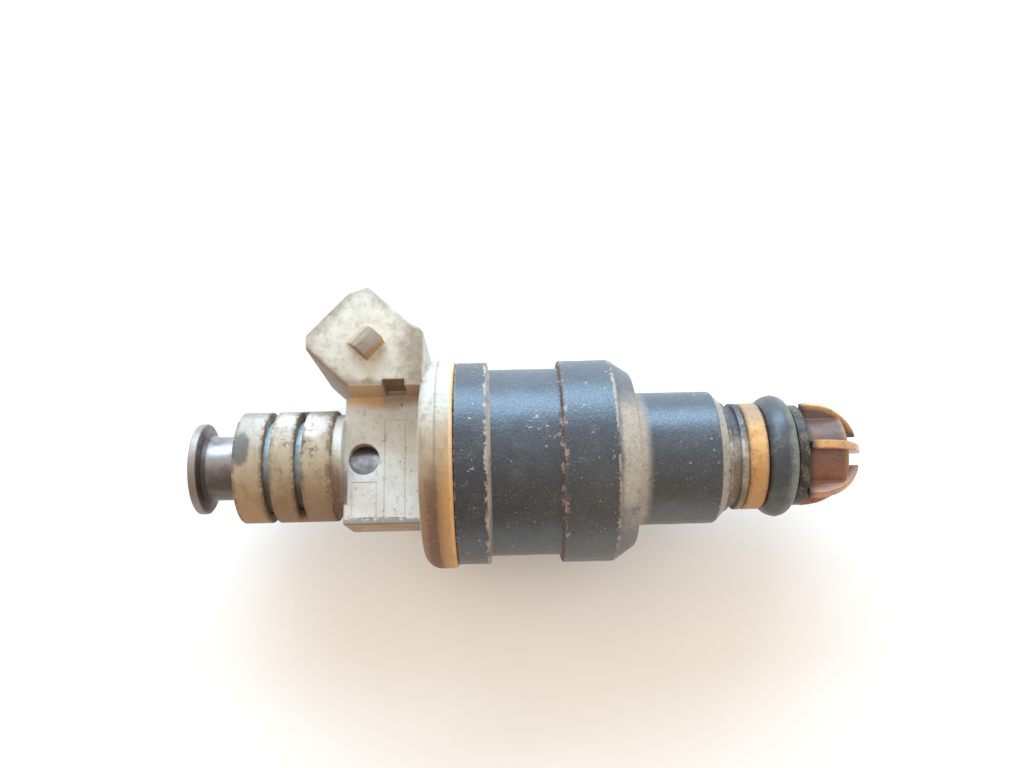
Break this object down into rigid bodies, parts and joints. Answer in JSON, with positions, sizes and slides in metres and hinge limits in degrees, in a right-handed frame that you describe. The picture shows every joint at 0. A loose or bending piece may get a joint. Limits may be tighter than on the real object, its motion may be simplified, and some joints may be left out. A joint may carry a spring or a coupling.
{
  "type": "port fuel injector",
  "caption": "Port fuel injector with a stepped steel shell, moulded side connector, flanged fuel inlet, seal ring and finned nozzle cap; its needle lifts inside.",
  "frame": {"origin": "on the injector's axis, at the shoulder where the lower spigot leaves the shell", "axes": "+X is the spray direction along the injector's axis, +Y is the side that the electrical connector is on, +Z completes the frame"},
  "size_m": [0.0783, 0.0321, 0.0248],
  "materials": {
    "tube_steel": "satin, stained",
    "cream_plastic": "aged, stained",
    "black_shell": "worn black coating",
    "valve_steel": "dull",
    "magnet_steel": "turned",
    "brown_plastic": "satin",
    "cap_plastic": "satin, translucent",
    "seal_rubber": "matte",
    "bobbin_plastic": "plain",
    "copper_wire": "enamelled",
    "contact_brass": "tinned",
    "filter_plastic": "plain"
  },
  "bodies": {
    "injector_body": {"inlet_tube": "tube_steel", "filter_ring": "contact_brass", "filter_basket": "filter_plastic", "filter_mesh": "filter_plastic", "adjusting_sleeve": "valve_steel", "closing_spring": "valve_steel", "connector_overmold": "cream_plastic", "terminal_left": "contact_brass", "terminal_right": "contact_brass", "cover_plate": "magnet_steel", "coil_bobbin": "bobbin_plastic", "coil_winding": "copper_wire", "coil_tape": "bobbin_plastic", "upper_coil_seal": "seal_rubber", "lower_coil_seal": "seal_rubber", "housing_shell": "black_shell", "stop_plate": "valve_steel", "valve_body": "valve_steel", "body_seal": "seal_rubber", "support_washer": "valve_steel", "backup_ring": "brown_plastic", "lower_seal_ring": "seal_rubber", "pintle_cap": "cap_plastic"},
    "needle_group": {"armature": "magnet_steel", "needle": "valve_steel"}
  },
  "joints": [
    {"name": "needle_lift", "type": "slide", "parent": "injector_body", "child": "needle_group", "axis": [-1, 0, 0], "range_m": [0, 0.0001], "stiffness_N_per_m": 1500, "deforming": ["closing_spring"]}
  ]
}
